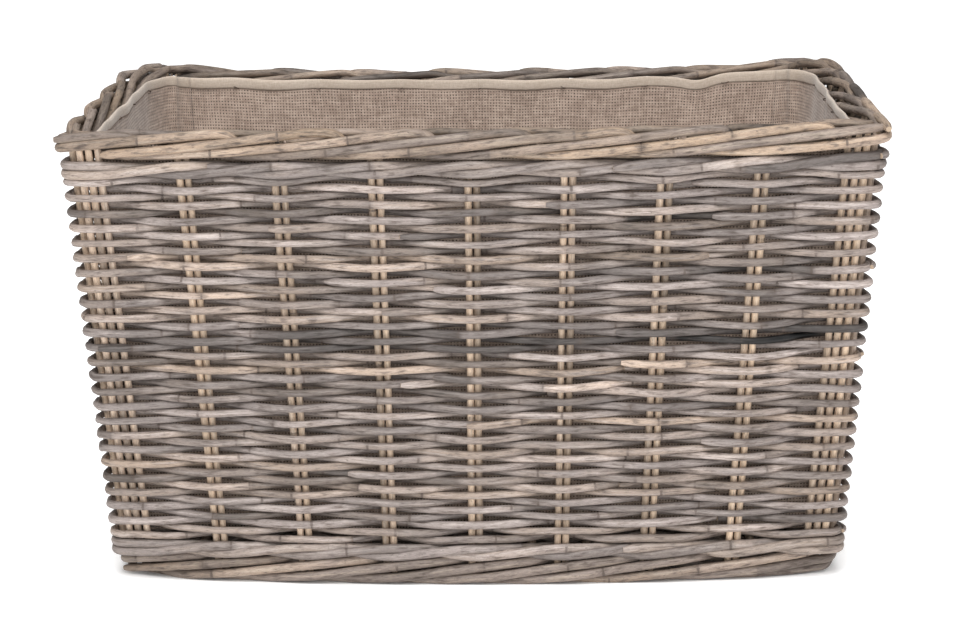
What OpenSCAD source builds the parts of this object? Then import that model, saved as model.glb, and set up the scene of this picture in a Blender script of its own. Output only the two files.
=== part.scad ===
// Rectangular wicker log basket, woven round cane on paired stakes, with a
// rolled rim, a rolled foot and a sewn-in cloth lining. Millimetres, Z up,
// front towards -Y, origin at the middle of the foot on the floor.

/* [Overall] */
// outside width of the rim, side to side
rim_w = 800; // [560:5:1200]
// outside depth of the rim, front to back
rim_d = 490; // [380:5:800]
// height from the floor to the top of the rim
height = 460; // [260:5:640]
// inward lean of every wall, per millimetre of height
lean = 0.071; // [0:0.001:0.12]
// outward bow of the front and back at the rim
bow_rim = 10; // [0:1:20]
// outward bow of the front and back at the foot
bow_foot = 24; // [0:1:30]

/* [Weave] */
// thickness of the weaving canes
cane_d = 7; // [5:0.1:9]
// gap between one woven row and the next
row_gap = 0.55; // [0.4:0.05:1.5]
// thickness of the upright stakes
stake_d = 7; // [5:0.1:9]
// spaces between stake pairs along the front and back
long_spans = 8; // [4:2:12]
// spaces between stake pairs along each side
side_spans = 5; // [3:2:9]
// free play between a cane and the stake it passes
play = 0.6; // [0.4:0.1:1]
// thickness of the heavier canes worked above and below the weave
wale_d = 8.5; // [7:0.1:10]

/* [Rim and foot] */
// thickness of the rolled rim and foot strands
strand_d = 9; // [7:0.1:11]
// height of the rolled rim
roll_h = 29; // [26:1:40]
// height of the rolled foot
foot_h = 25; // [22:1:40]
// gap between one strand and the next in the roll
strand_gap = 0.75; // [0.5:0.05:2]
// wear under the foot strands, which leaves flats to stand on
foot_wear = 1.1; // [0.5:0.1:2]

/* [Base] */
// thickness of the base sticks
stick_d = 9; // [7:0.5:12]
// number of base sticks, front to back
sticks = 13; // [7:2:21]
// thickness of the canes woven through the base
base_cane = 7; // [5:0.1:9]

/* [Lining] */
// thickness of the cloth
cloth_t = 1.4; // [0.8:0.1:3]
// height of the hem sewn round the top
hem_h = 13; // [8:1:30]
// thickness of the twine that ties the hem to the stakes
twine_d = 1.6; // [1:0.1:3]

/* [Hidden] */
$fn = 32;

// walls, counted round from the front as seen from above
FRONT = 0;
RIGHT = 1;
BACK = 2;
LEFT = 3;

// stations up the basket
gap = 0.6;
roll_out = stake_d / 2 + play + strand_d;
z_roll = height - strand_d / 2;
wale_step = wale_d + row_gap + 0.35;
z_foot_wale = foot_h - foot_wear + gap;
z_weave = z_foot_wale + 2 * wale_step;
z_top_wale = height - roll_h - gap - 2 * wale_step;
rows = round((z_top_wale - z_weave) / (cane_d + row_gap));
row_step = (z_top_wale - z_weave) / rows;
third = ceil(rows / 3);

// how far a cane's middle stands off the stakes it passes
reach = (stake_d + cane_d) / 2 + play;
wale_reach = (stake_d + wale_d) / 2 + play;
flat = 2 * stake_d + 4;
pair_gap = stake_d / 2 + 0.6;

// the four stakes round a corner: three along the long wall, one on the short
corner_step = stake_d + 2;
long_end = 3 * corner_step - 0.5;
side_end = corner_step - 0.5;
end_share = 0.87;
turn = side_end + 0.3 * stake_d;

// cloth stations
cloth_v = stake_d / 2 + play + max(strand_d + 0.9, wale_d + 1.4, cane_d + 2.9) + 2 * gap;
hem_v = cloth_v + cloth_t + 0.3;
z_cloth = z_weave + 1;
z_cloth_top = height - 11;
stick_z = foot_h + stick_d / 2 + 2;

wale_color = "#8f8478";
weave_color = "#a5968a";
stake_color = "#cbb48f";
strand_color = "#b5a38c";
cloth_color = "#a8937d";
hem_color = "#beae9f";
twine_color = "#6b5a48";

// half length of the stake line along x or y at a height
function hx(z) = rim_w / 2 - roll_out - lean * (z_roll - z);
function hy(z) = rim_d / 2 - roll_out - bow_rim - 0.6 - lean * (z_roll - z);
function is_long(w) = w % 2 == 0;
function along(w, z) = is_long(w) ? hx(z) : hy(z);
function across(w, z) = is_long(w) ? hy(z) : hx(z);
function spans(w) = is_long(w) ? long_spans : side_spans;
function end_off(w) = is_long(w) ? long_end : side_end;
function bow_at(z) = bow_foot + (bow_rim - bow_foot) * z / height;
function arc(w, u, z) = is_long(w) ? max(0, 1 - pow(u / along(w, z), 2)) : 0;
function bow(w, u, z) = bow_at(z) * arc(w, u, z);

// spacing of the stake pairs, and the place of pair k along its wall
function pitch(w, z) = (along(w, z) - end_off(w)) / (spans(w) / 2 - 1 + end_share);
function pair_u(w, z, k) = (k - spans(w) / 2) * pitch(w, z);

// a point on wall w: u along it, v out from the stake line, at height z
function on_wall(w, u, v, z) = [u, -(across(w, z) + v + bow(w, u, z)), z];

// which side of its first corner a row passes, and of stake pair k
function first_side(w, row) = (w == FRONT || w == RIGHT ? 1 : -1) * (row % 2 == 0 ? 1 : -1);
function row_side(w, row, k) = first_side(w, row) * (k % 2 == 0 ? 1 : -1);

// the end of one edge of a row, out to the mitre at the corner
function row_end(w, z, side, off, cut) =
    let (h = along(w, z), u = h - end_off(w) - flat / 2)
    side > 0
        ? [[u, off + bow(w, u, z)],
           [h + off - turn, off + bow(w, h + off - turn, z)],
           [h + off - turn / 2 - cut, off - turn / 2]]
        : [[u, off + bow(w, u, z)], [h + off - cut, off]];

function mirrored(points) = [for (i = [len(points) - 1:-1:0]) [-points[i][0], points[i][1]]];

// one edge of a row: the sides it takes at every stake, its stand-off and half width
function row_edge(w, z, sides, stand, half) =
    let (n = spans(w))
    concat(
        mirrored(row_end(w, z, sides[0], sides[0] * stand + half, gap / 2)),
        [for (k = [1:n - 1]) for (q = [-1, 1])
            let (u = pair_u(w, z, k) + q * flat / 2)
            [u, sides[k] * stand + half + bow(w, u, z)]],
        row_end(w, z, sides[n], sides[n] * stand + half, gap / 2));

// a woven cane along one wall, between z0 and z0 + thick
module woven_row(w, z0, thick, sides, stand, wide) {
    zm = z0 + thick / 2;
    outer = row_edge(w, zm, sides, stand, wide / 2);
    inner = row_edge(w, zm, sides, stand, -wide / 2);
    back = [for (i = [len(inner) - 1:-1:0]) inner[i]];
    translate([0, 0, z0]) linear_extrude(thick)
        polygon([for (p = concat(outer, back)) [p[0], -(across(w, zm) + p[1])]]);
}

module turned(w) {
    rotate([0, 0, 90 * w]) children();
}

// a straight round rod between two points
module rod(a, b, d) {
    line = b - a;
    long = norm(line);
    translate(a) rotate([0, acos(line.z / long), atan2(line.y, line.x)])
        cylinder(h = long, d = d);
}

// stakes in pairs along one wall
module wall_stakes(w) {
    z0 = 2;
    z1 = height - 3;
    color(stake_color) turned(w)
        for (k = [1:spans(w) - 1], q = [-1, 1])
            rod(on_wall(w, pair_u(w, z0, k) + q * pair_gap, 0, z0),
                on_wall(w, pair_u(w, z1, k) + q * pair_gap, 0, z1), stake_d);
}

// the four stakes round one corner, mirrored into place
module corner_stakes(sx, sy) {
    z0 = 2;
    z1 = height - 3;
    color(stake_color)
        for (s = [[long_end, 0], [2 * corner_step - 0.5, 0],
                [side_end, 0], [0, side_end]])
            rod(corner_point(sx, sy, s, z0), corner_point(sx, sy, s, z1), stake_d);
}

function corner_point(sx, sy, s, z) =
    let (u = hx(z) - s[0], v = bow(FRONT, u, z) * (s[1] == 0 ? 1 : 0))
    [sx * u, sy * (hy(z) - s[1] + v), z];

// a third of the woven rows of one wall
module weave(w, part) {
    color(weave_color) turned(w)
        for (row = [part * third:min(rows, (part + 1) * third) - 1])
            woven_row(w, z_weave + row * row_step, row_step - row_gap,
                [for (k = [0:spans(w)]) row_side(w, row, k)], reach, cane_d);
}

// two heavier canes, each in front of two stake pairs and behind one
module wale(w, z0) {
    n = spans(w);
    color(wale_color) turned(w)
        for (r = [0:1])
            woven_row(w, z0 + r * wale_step, wale_d,
                [for (k = [0:n]) k == 0 || k == n || (k + r) % 3 > 0 ? 1 : -1],
                wale_reach, wale_d);
}

// how many stake spaces a strand takes to climb a roll, clear of its neighbours
function strand_spans(h) = (h - strand_d) / (strand_d + strand_gap);
function strand_run(w, z, h) = strand_spans(h) * pitch(w, z);
// how far a straight strand cuts inside the bow of its wall
function sag(w, z, h) = is_long(w) ? bow_at(z) * pow(strand_run(w, z, h) / 2 / along(w, z), 2) : 0;

// a strand between two points along a wall, kept short of the corners
module strand(w, v, a, b, limit) {
    ends = [for (p = [a, b]) max(-limit, min(limit, p[0]))];
    z = [for (u = ends) a[1] + (b[1] - a[1]) * (u - a[0]) / (b[0] - a[0])];
    if (abs(ends[1] - ends[0]) > 3 * strand_d)
        rod(on_wall(w, ends[0], v, z[0]), on_wall(w, ends[1], v, z[1]), strand_d);
}

// a rolled edge: strands climb the outside of the stakes and drop down the inside,
// those of the long walls running past the ends of the others at the corners
module roll(w, z0, tall) {
    low = z0 + strand_d / 2;
    top = z0 + tall - strand_d / 2;
    p = pitch(w, low);
    run = strand_run(w, low, tall);
    side = stake_d / 2 + play + strand_d / 2;
    past = side + strand_d / 2;
    h = along(w, low);
    first = -ceil(strand_spans(tall)) - 1;
    for (j = [first:spans(w)]) {
        u = -h + (j + 0.5) * p;
        strand(w, side + sag(w, low, tall), [u, low], [u + run, top],
            is_long(w) ? h + past : h + side - strand_d / 2 - gap);
        strand(w, -side - gap, [u, top], [u + run, low],
            is_long(w) ? h - side + strand_d / 2 - gap : h - past - 2 * gap - sag(w + 1, low, tall));
    }
}

module rim(w) {
    color(strand_color) turned(w) roll(w, height - roll_h, roll_h);
}

// the foot is the same roll, worn flat where it meets the floor
module foot(w) {
    color(strand_color) turned(w) intersection() {
        union() roll(w, -foot_wear, foot_h);
        translate([-rim_w, -rim_w, 0]) cube([2 * rim_w, 2 * rim_w, 2 * foot_h]);
    }
}

// sticks across the base, front to back
module base_sticks() {
    color(stake_color)
        for (i = [0:sticks - 1]) {
            u = (i - (sticks - 1) / 2) * stick_pitch();
            y = base_half(u);
            rod([u, -y, stick_z], [u, y, stick_z], stick_d);
        }
}

function base_half_x() = hx(stick_z) - cloth_v - 1;
function stick_pitch() = 2 * (base_half_x() - stick_d) / (sticks - 1);
function base_half(u) = hy(stick_z) - cloth_v - 1 + bow_at(stick_z) * 0.9 * arc(FRONT, u, stick_z);

// canes woven along the base, under and over its sticks
module base_weave() {
    step = base_cane + 0.9;
    count = floor((base_half(0) - base_cane / 2) / step);
    color(weave_color)
        for (r = [-count:count]) {
            y = r * step;
            over = abs(y) + base_cane / 2 - base_half(hx(stick_z));
            share = over > 0 ? sqrt(max(0, 1 - over / (bow_at(stick_z) * 0.9))) : 1;
            last = floor((share * base_half_x() - stick_d) / stick_pitch() + 0.001);
            if (last > 0)
                translate([0, y + base_cane / 2, stick_z]) rotate([90, 0, 0])
                    linear_extrude(base_cane) base_row(last, abs(r) % 2 == 0 ? 1 : -1);
        }
}

module base_row(last, side) {
    stand = (stick_d + base_cane) / 2 + play;
    line = [for (i = [-last:last]) for (q = [-1, 1])
        [i * stick_pitch() + q * stick_d * 0.7,
            stand * side * ((i + last) % 2 == 0 ? 1 : -1) * (last % 2 == 0 ? 1 : -1)]];
    polygon(concat([for (p = line) [p[0], p[1] + base_cane / 2 - 0.5]],
        [for (i = [len(line) - 1:-1:0]) [line[i][0], line[i][1] - base_cane / 2 + 0.5]]));
}

// a strip that follows one wall's bow and lean, cut to the wall's own taper
module leaning_strip(w, v, thick, z0, z1, side_room) {
    ang = atan(lean);
    n = 10;
    h = along(w, z1) + 10;
    b = is_long(w) ? bow_rim : 0;
    line = [for (i = [0:n]) let (u = h * (2 * i / n - 1)) [u, b * max(0, 1 - pow(u / h, 2))]];
    intersection() {
        translate([0, -(across(w, z0) - v), z0]) rotate([ang, 0, 0]) translate([0, 0, -2])
            linear_extrude((z1 - z0) / cos(ang) + 4)
                polygon(concat([for (p = line) [p[0], -p[1]]],
                    [for (i = [n:-1:0]) [line[i][0], thick - line[i][1]]]));
        translate([0, -across(w, z1) - 40, 0]) rotate([-90, 0, 0])
            linear_extrude(200)
                polygon([[-(along(w, z0) - side_room), -z0], [along(w, z0) - side_room, -z0],
                    [along(w, z1) - side_room, -z1], [-(along(w, z1) - side_room), -z1]]);
    }
}

module lining(w) {
    room = is_long(w) ? cloth_v : cloth_v + cloth_t + 0.4;
    color(cloth_color) turned(w)
        leaning_strip(w, cloth_v, cloth_t, z_cloth + cloth_t + 0.4, z_cloth_top, room);
}

module hem(w) {
    room = is_long(w) ? hem_v : hem_v + cloth_t + 0.4;
    color(hem_color) turned(w)
        leaning_strip(w, hem_v, cloth_t, z_cloth_top - hem_h, z_cloth_top, room);
}

module lining_base() {
    h = hx(z_cloth) - cloth_v;
    n = 10;
    line = [for (i = [0:n]) let (u = h * (2 * i / n - 1))
        [u, -(hy(z_cloth) - cloth_v + bow_rim * max(0, 1 - pow(u / h, 2)))]];
    color(cloth_color) translate([0, 0, z_cloth]) linear_extrude(cloth_t)
        polygon(concat(line, [for (i = [n:-1:0]) [line[i][0], -line[i][1]]]));
}

// a stitch of twine over the hem at every stake pair
module ties(w) {
    z = z_cloth_top - hem_h * 0.65;
    v = hem_v + cloth_t + twine_d / 2 + 0.4;
    long = 12;
    color(twine_color) turned(w)
        for (k = [1:spans(w) - 1]) {
            u = pair_u(w, z, k);
            y = -(across(w, z) - v + (is_long(w) ? bow_rim * arc(w, u, z) * 0.97 : 0));
            rod([u - long / 2, y, z], [u + long / 2, y, z], twine_d);
        }
}

module stakes_front() { wall_stakes(FRONT); }
module stakes_right() { wall_stakes(RIGHT); }
module stakes_back() { wall_stakes(BACK); }
module stakes_left() { wall_stakes(LEFT); }
module corner_stakes_fr() { corner_stakes(1, -1); }
module corner_stakes_br() { corner_stakes(1, 1); }
module corner_stakes_bl() { corner_stakes(-1, 1); }
module corner_stakes_fl() { corner_stakes(-1, -1); }
module weave_front_low() { weave(FRONT, 0); }
module weave_front_mid() { weave(FRONT, 1); }
module weave_front_high() { weave(FRONT, 2); }
module weave_right_low() { weave(RIGHT, 0); }
module weave_right_mid() { weave(RIGHT, 1); }
module weave_right_high() { weave(RIGHT, 2); }
module weave_back_low() { weave(BACK, 0); }
module weave_back_mid() { weave(BACK, 1); }
module weave_back_high() { weave(BACK, 2); }
module weave_left_low() { weave(LEFT, 0); }
module weave_left_mid() { weave(LEFT, 1); }
module weave_left_high() { weave(LEFT, 2); }
module top_wale_front() { wale(FRONT, z_top_wale); }
module top_wale_right() { wale(RIGHT, z_top_wale); }
module top_wale_back() { wale(BACK, z_top_wale); }
module top_wale_left() { wale(LEFT, z_top_wale); }
module foot_wale_front() { wale(FRONT, z_foot_wale); }
module foot_wale_right() { wale(RIGHT, z_foot_wale); }
module foot_wale_back() { wale(BACK, z_foot_wale); }
module foot_wale_left() { wale(LEFT, z_foot_wale); }
module rim_front() { rim(FRONT); }
module rim_right() { rim(RIGHT); }
module rim_back() { rim(BACK); }
module rim_left() { rim(LEFT); }
module foot_front() { foot(FRONT); }
module foot_right() { foot(RIGHT); }
module foot_back() { foot(BACK); }
module foot_left() { foot(LEFT); }
module lining_front() { lining(FRONT); }
module lining_right() { lining(RIGHT); }
module lining_back() { lining(BACK); }
module lining_left() { lining(LEFT); }
module hem_front() { hem(FRONT); }
module hem_right() { hem(RIGHT); }
module hem_back() { hem(BACK); }
module hem_left() { hem(LEFT); }
module ties_front() { ties(FRONT); }
module ties_right() { ties(RIGHT); }
module ties_back() { ties(BACK); }
module ties_left() { ties(LEFT); }

stakes_front();
stakes_right();
stakes_back();
stakes_left();
corner_stakes_fr();
corner_stakes_br();
corner_stakes_bl();
corner_stakes_fl();
weave_front_low();
weave_front_mid();
weave_front_high();
weave_right_low();
weave_right_mid();
weave_right_high();
weave_back_low();
weave_back_mid();
weave_back_high();
weave_left_low();
weave_left_mid();
weave_left_high();
top_wale_front();
top_wale_right();
top_wale_back();
top_wale_left();
foot_wale_front();
foot_wale_right();
foot_wale_back();
foot_wale_left();
rim_front();
rim_right();
rim_back();
rim_left();
foot_front();
foot_right();
foot_back();
foot_left();
base_sticks();
base_weave();
lining_front();
lining_right();
lining_back();
lining_left();
lining_base();
hem_front();
hem_right();
hem_back();
hem_left();
ties_front();
ties_right();
ties_back();
ties_left();
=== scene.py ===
import bpy
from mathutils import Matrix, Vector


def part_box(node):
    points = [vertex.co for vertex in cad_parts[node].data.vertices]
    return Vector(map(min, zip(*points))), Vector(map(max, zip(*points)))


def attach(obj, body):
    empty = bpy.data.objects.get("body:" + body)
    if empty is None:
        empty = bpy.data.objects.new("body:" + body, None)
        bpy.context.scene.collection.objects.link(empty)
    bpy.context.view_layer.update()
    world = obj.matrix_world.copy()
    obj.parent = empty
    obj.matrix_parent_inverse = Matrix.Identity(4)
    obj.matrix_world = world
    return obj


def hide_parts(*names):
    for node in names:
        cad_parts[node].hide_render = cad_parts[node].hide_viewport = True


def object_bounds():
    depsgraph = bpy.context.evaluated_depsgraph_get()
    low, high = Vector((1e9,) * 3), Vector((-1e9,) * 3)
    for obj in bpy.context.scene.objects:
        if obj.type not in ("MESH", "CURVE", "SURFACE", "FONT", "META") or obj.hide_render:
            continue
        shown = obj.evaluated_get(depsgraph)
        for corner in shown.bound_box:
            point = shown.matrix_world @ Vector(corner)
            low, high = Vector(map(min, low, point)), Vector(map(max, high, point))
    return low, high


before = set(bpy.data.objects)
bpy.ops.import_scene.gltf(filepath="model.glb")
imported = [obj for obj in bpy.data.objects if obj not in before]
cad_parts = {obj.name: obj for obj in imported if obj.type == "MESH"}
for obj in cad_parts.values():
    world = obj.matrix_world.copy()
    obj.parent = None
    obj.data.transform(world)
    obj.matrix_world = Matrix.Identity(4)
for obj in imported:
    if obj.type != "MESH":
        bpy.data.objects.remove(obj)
cad_box = [list(corner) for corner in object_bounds()]

import bpy
import math
import numpy as np
from mathutils import Quaternion, Vector

# ---------------------------------------------------------------------------
# Base sticks: thirteen round sticks laid front to back across the floor of
# the basket. They are peeled cane, cut square at both ends, and the base
# canes woven through them hold them in place.
# ---------------------------------------------------------------------------
MM = 0.001
STAKE = 7.0 * MM
WIDE, DEEP, TALL = (cad_box[1][i] - cad_box[0][i] for i in range(3))
WALLS = ("front", "right", "back", "left")
SPANS = (8, 5, 8, 5)
END_OFF = (26.5 * MM, 8.5 * MM)
END_SHARE = 0.87
BOW_RIM, BOW_FOOT = 10 * MM, 24 * MM

right_low, right_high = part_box("stakes_right")
LEAN = (right_high[0] - right_low[0] - STAKE) / (right_high[2] - right_low[2])


def half_x(z):
    return right_high[0] - STAKE / 2 - LEAN * (right_high[2] - z)


def half_y(z):
    return half_x(z) - (WIDE - DEEP) / 2 - BOW_RIM - 0.7 * MM


def bow_at(z):
    return BOW_FOOT + (BOW_RIM - BOW_FOOT) * z / TALL


def along(wall, z):
    return half_x(z) if wall % 2 == 0 else half_y(z)


def across(wall, z):
    return half_y(z) if wall % 2 == 0 else half_x(z)


def pair_place(wall, k, z):
    """how far along its wall stake pair k stands"""
    n = SPANS[wall]
    return (k - n / 2) * (along(wall, z) - END_OFF[wall % 2]) / (n / 2 - 1 + END_SHARE)


def on_wall(wall, u, v, z):
    """u along the wall, v out from the stake line, at height z"""
    u, v, z = np.broadcast_arrays(*(np.asarray(a, float) for a in (u, v, z)))
    swell = bow_at(z) * np.maximum(0, 1 - (u / along(wall, z)) ** 2) if wall % 2 == 0 else 0
    out = across(wall, z) + v + swell
    x, y = ((u, -out), (out, u), (-u, out), (-out, -u))[wall]
    return np.stack([x, y, z], axis=-1)


BACK_RISE, CORNER_RISE, RIGHT_RISE = 3.5, 15, 5
CORNER_ROUND = {1: 88 * MM, -1: 102 * MM}


def ease(t):
    return t * t * (3 - 2 * t)


def hand_worked(co):
    """out of true by hand: the rim is higher at the back and right, and the back corners are round"""
    x, y, z = co[:, 0], co[:, 1], co[:, 2]
    a, b = np.clip(x / half_x(TALL), -1.1, 1.1), np.clip(y / half_y(TALL), -1.2, 1.2)
    right, back = (a + 1) / 2, (b + 1) / 2
    rise = (RIGHT_RISE * right ** 4 * (1 - back) + back * right ** 3
            + back * (CORNER_RISE * np.abs(a) ** 4 + BACK_RISE))
    share = np.clip((z / TALL - 0.45) / 0.5, 0, 1)
    out = co.copy()
    out[:, 2] += rise * MM * ease(share)
    firm = np.clip(z / TALL * 1.6 - 0.6, 0.15, 1)
    for sx, reach in CORNER_ROUND.items():
        dx, dy = sx * x - (half_x(z) - reach), y - (half_y(z) - reach)
        inside = (dx > 0) & (dy > 0)
        far, square = np.hypot(dx, dy), np.maximum(dx, dy)
        round_off = np.where(inside, (square / np.maximum(far, 1e-6) - 1) * firm, 0)
        out[:, 0] += sx * dx * round_off
        out[:, 1] += dy * round_off
    return out


def reshape(piece, floor=None):
    """sets a made piece out of true like the rest of the basket, and keeps it above the floor"""
    flat = np.empty(len(piece.data.vertices) * 3, np.float32)
    piece.data.vertices.foreach_get("co", flat)
    flat = hand_worked(flat.reshape(-1, 3).astype(float))
    if floor is not None:
        flat[:, 2] = np.maximum(flat[:, 2], floor)
    piece.data.vertices.foreach_set("co", flat.astype(np.float32).ravel())
    piece.data.update()
    return piece


def lengths(points):
    return np.concatenate([[0], np.cumsum(np.linalg.norm(np.diff(points, axis=0), axis=1))])


def pick(points, places, at):
    """the points of a line at the given distances along it"""
    return np.stack([np.interp(at, places, points[:, i]) for i in range(points.shape[1])], axis=1)


def drift(rng, at, step, size):
    """a slow random wander along a cane"""
    n = int(at[-1] / step) + 4
    knots = rng.normal(0, size, n)
    t = at / step
    i = np.clip(t.astype(int), 0, n - 2)
    f = ease(t - i)
    return knots[i] * (1 - f) + knots[i + 1] * f


def cane(path, thick, rng, warm=0.3, light=0.5, spread=0.12, joint=0.19, ring=5 * MM):
    """one length of cane along a path, with its joints, its tones and its cut ends"""
    places = lengths(path)
    total = places[-1]
    joints = np.cumsum(rng.uniform(0.5, 1.5, int(total / joint / 0.5) + 3) * joint) - rng.uniform(0, joint)
    joints = joints[(joints > 0.006) & (joints < total - 0.006)]
    at = np.linspace(0, total, max(4, int(total / ring) + 1))
    if len(joints):
        at = at[np.min(np.abs(at[:, None] - joints[None]), axis=1) > 1.4 * MM]
    at = np.unique(np.concatenate([at[(at > 1.2 * MM) & (at < total - 1.2 * MM)],
                                   joints, [0, 0.7 * MM, total - 0.7 * MM, total]]))
    gap = np.min(np.abs(at[:, None] - joints[None]), axis=1) if len(joints) else np.full(len(at), 0.1)
    piece = np.searchsorted(joints, at)
    tone = rng.normal(0, spread, (len(joints) + 1, 2))
    warmth = warm + tone[piece, 0] + drift(rng, at, 0.05, spread * 0.4)
    lightness = light + tone[piece, 1] + drift(rng, at, 0.04, spread * 0.5)
    radius = thick / 2 * (1 + drift(rng, at, 0.03, 0.03) + 0.045 * np.exp(-(gap / (2.2 * MM)) ** 2))
    cut = np.zeros(len(at))
    radius *= 1 - 0.42 * np.clip(1 - np.minimum(at, total - at) / (11 * MM), 0, 1) ** 1.6
    cut[[0, -1]] = 1
    return {
        "co": pick(path, places, at), "thick": radius, "along": at + rng.uniform(0, 40),
        "knot": gap, "cut": cut,
        "bark": np.stack([warmth, lightness, np.full(len(at), rng.uniform())], axis=1),
    }


def link(tree, *pairs):
    for a, b in pairs:
        tree.links.new(a, b)


def adder(tree):
    """a short way to add a node: its kind, what goes into it, which output is wanted, its settings"""
    def add(kind, inputs=(), output=0, **settings):
        node = tree.nodes.new(kind)
        for key, value in settings.items():
            setattr(node, key, value)
        for key, value in inputs:
            if isinstance(value, bpy.types.NodeSocket):
                tree.links.new(value, node.inputs[key])
            else:
                node.inputs[key].default_value = value
        return node.outputs[output]
    return add


def socket(group, name, kind, way="INPUT", value=None):
    made = group.interface.new_socket(name, in_out=way, socket_type="NodeSocket" + kind)
    if value is not None:
        made.default_value = value


def swept_cane_tree():
    """sweeps a round section along every path, at the thickness each point asks for"""
    tree = bpy.data.node_groups.new("swept cane", "GeometryNodeTree")
    for name, kind, value in (("Paths", "Geometry", None), ("Sides", "Int", 10), ("Ripple", "Float", 0.05),
                              ("Ripple Scale", "Float", 90.0), ("Seed", "Int", 1),
                              ("Finish", "Material", None)):
        socket(tree, name, kind, value=value)
    socket(tree, "Canes", "Geometry", "OUTPUT")
    given = tree.nodes.new("NodeGroupInput").outputs
    add = adder(tree)
    noise = add("ShaderNodeTexNoise", (("W", given["Seed"]), ("Scale", given["Ripple Scale"])), "Fac",
                noise_dimensions="4D")
    off = add("ShaderNodeMath", ((0, noise), (1, 0.5)), operation="SUBTRACT")
    swing = add("ShaderNodeMath", ((0, off), (1, given["Ripple"]), (2, 1.0)), operation="MULTIPLY_ADD")
    thick = add("GeometryNodeInputNamedAttribute", (("Name", "thick"),), "Attribute")
    size = add("ShaderNodeMath", ((0, thick), (1, swing)), operation="MULTIPLY")
    circle = add("GeometryNodeCurvePrimitiveCircle", (("Resolution", given["Sides"]), ("Radius", 1.0)), "Curve")
    section = add("GeometryNodeStoreNamedAttribute",
                  (("Geometry", circle), ("Name", "ring"), ("Value", add("GeometryNodeInputPosition"))),
                  "Geometry", data_type="FLOAT_VECTOR", domain="POINT")
    curve = add("GeometryNodeMeshToCurve", (("Mesh", given["Paths"]),), "Curve")
    swept = add("GeometryNodeCurveToMesh", (("Curve", curve), ("Profile Curve", section), ("Scale", size),
                                            ("Fill Caps", True)), "Mesh")
    smooth = add("GeometryNodeSetShadeSmooth", (("Geometry", swept),), "Geometry")
    corners = add("GeometryNodeInputMeshFaceNeighbors", (), "Vertex Count")
    cap = add("FunctionNodeCompare", ((2, corners), (3, 4)), "Result", data_type="INT", operation="GREATER_THAN")
    flat = add("GeometryNodeSetShadeSmooth", (("Geometry", smooth), ("Selection", cap), ("Shade Smooth", False)),
               "Geometry")
    painted = add("GeometryNodeSetMaterial", (("Geometry", flat), ("Material", given["Finish"])), "Geometry")
    real = add("GeometryNodeRealizeInstances", (("Geometry", painted),), "Geometry")
    tree.links.new(real, tree.nodes.new("NodeGroupOutput").inputs["Canes"])
    return tree


SWEPT = swept_cane_tree()


def placed(name, data):
    """a new object in the scene, at the origin"""
    thing = bpy.data.objects.new(name, data)
    bpy.context.scene.collection.objects.link(thing)
    return thing


def made_plain(piece):
    """keeps the mesh that a piece's modifiers make, and drops the modifiers"""
    bpy.context.view_layer.update()
    graph = bpy.context.evaluated_depsgraph_get()
    made = bpy.data.meshes.new_from_object(piece.evaluated_get(graph), preserve_all_data_layers=True,
                                           depsgraph=graph)
    piece.modifiers.clear()
    piece.data = made
    made.name = piece.name


def grown(piece, tree, **values):
    """runs a tree on a piece and keeps the plain mesh it makes"""
    mod = piece.modifiers.new(tree.name, "NODES")
    mod.node_group = tree
    sockets = {s.name: s.identifier for s in tree.interface.items_tree
               if s.item_type == "SOCKET" and s.in_out == "INPUT"}
    for name, value in values.items():
        mod[sockets[name.replace("_", " ")]] = value
    made_plain(piece)


def bundle(name, canes, finish, sides=10, ripple=0.05, seed=1, floor=None):
    """a piece made of many canes, each swept along its own path"""
    co = np.concatenate([c["co"] for c in canes])
    start = np.cumsum([0] + [len(c["co"]) for c in canes])
    edges = np.concatenate([np.stack([np.arange(a, b - 1), np.arange(a + 1, b)], axis=1)
                            for a, b in zip(start[:-1], start[1:])])
    mesh = bpy.data.meshes.new(name)
    mesh.from_pydata(co.tolist(), edges.tolist(), [])
    for key, kind, field in (("thick", "FLOAT", "value"), ("along", "FLOAT", "value"),
                             ("knot", "FLOAT", "value"), ("cut", "FLOAT", "value"),
                             ("bark", "FLOAT_VECTOR", "vector")):
        data = np.concatenate([c[key] for c in canes]).astype(np.float32)
        mesh.attributes.new(key, kind, "POINT").data.foreach_set(field, data.ravel())
    piece = placed(name, mesh)
    grown(piece, SWEPT, Sides=sides, Ripple=ripple, Seed=seed, Finish=finish)
    return reshape(piece, floor)


def fixed(piece, slot, *nodes):
    """the piece is part of the one rigid basket, and stands for these nodes of the CAD"""
    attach(piece, "root")
    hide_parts(*nodes)


def shader_tools(g):
    """short ways to add the nodes that a shared shader group is made of"""
    add = adder(g)

    def maths(op, *values, clamp=False):
        return add("ShaderNodeMath", enumerate(values), operation=op, use_clamp=clamp)

    def times(a, b):
        return maths("MULTIPLY", a, b)

    def scaled(value, by, plus, clamp=False):
        return maths("MULTIPLY_ADD", value, by, plus, clamp=clamp)

    def ramp(value, low, high, a=0.0, b=1.0):
        names = ("Value", "From Min", "From Max", "To Min", "To Max")
        return add("ShaderNodeMapRange", zip(names, (value, low, high, a, b)), "Result",
                   interpolation_type="SMOOTHSTEP")

    def blend(fac, a, b):
        return add("ShaderNodeMix", ((0, fac), (6, a), (7, b)), 2, data_type="RGBA")

    def pattern(vector, scale, detail=2.0, rough=0.5):
        values = (("Vector", vector), ("Scale", scale), ("Detail", detail), ("Roughness", rough))
        return add("ShaderNodeTexNoise", values, "Fac")

    def vector(x, y, z=0.0):
        return add("ShaderNodeCombineXYZ", enumerate((x, y, z)))

    def split(vector):
        return add("ShaderNodeSeparateXYZ", ((0, vector),)).node.outputs

    return add, maths, times, scaled, ramp, blend, pattern, vector, split


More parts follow.
